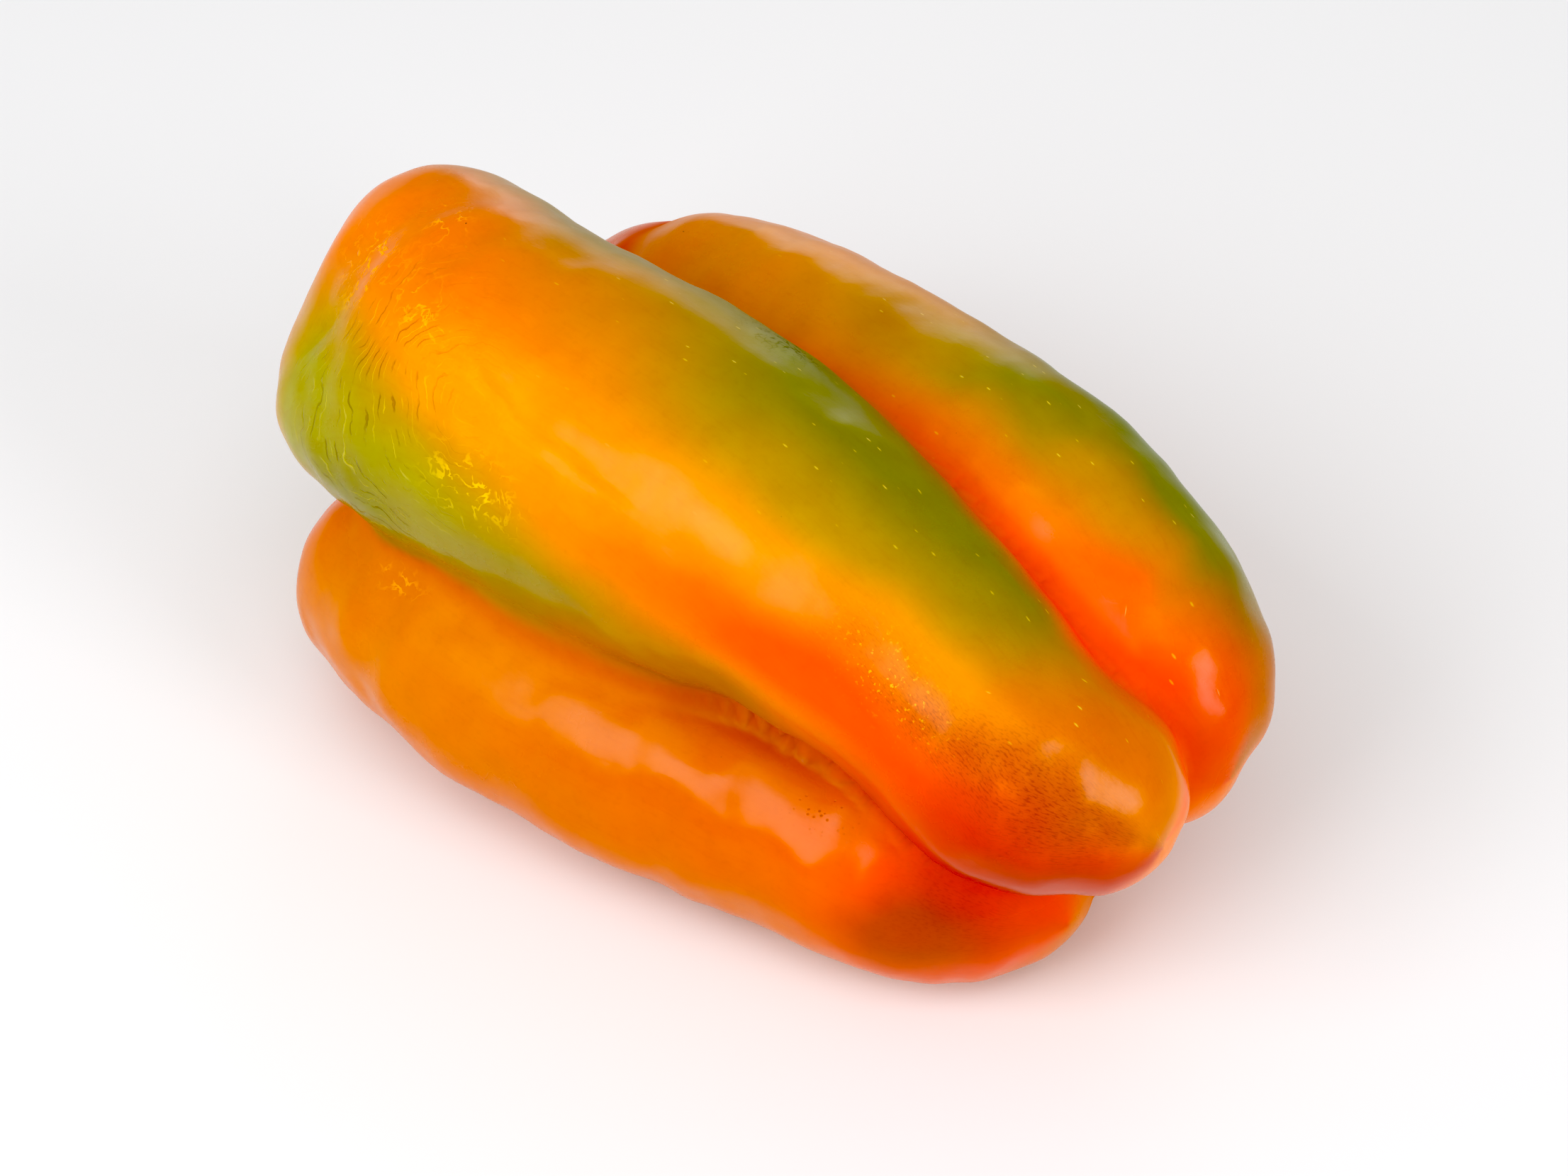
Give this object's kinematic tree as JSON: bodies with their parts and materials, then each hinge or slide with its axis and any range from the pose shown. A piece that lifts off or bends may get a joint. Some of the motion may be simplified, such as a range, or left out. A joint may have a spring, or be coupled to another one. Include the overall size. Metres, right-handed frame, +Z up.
{
  "type": "bell pepper",
  "caption": "Long blocky bell pepper lying on its side, lobed with deep furrows and half ripened from green to orange and red, with its calyx and cut stem; fresh produce",
  "frame": {"origin": "middle of the bounding box, on the plane of the flat spots that the pepper rests on", "axes": "+X from the stem end to the blossom end, +Z up, -Y towards the side with the large upper lobe"},
  "size_m": [0.1583, 0.0947, 0.0782],
  "materials": {
    "skin": "semi-gloss waxy skin, orange mottled with olive green, yellow and red",
    "calyx": "matt green plant tissue",
    "stem": "matt ribbed green stalk with a pale cut end"
  },
  "bodies": {
    "root": {"fruit": "skin", "calyx": "calyx", "stem": "stem"}
  },
  "joints": []
}
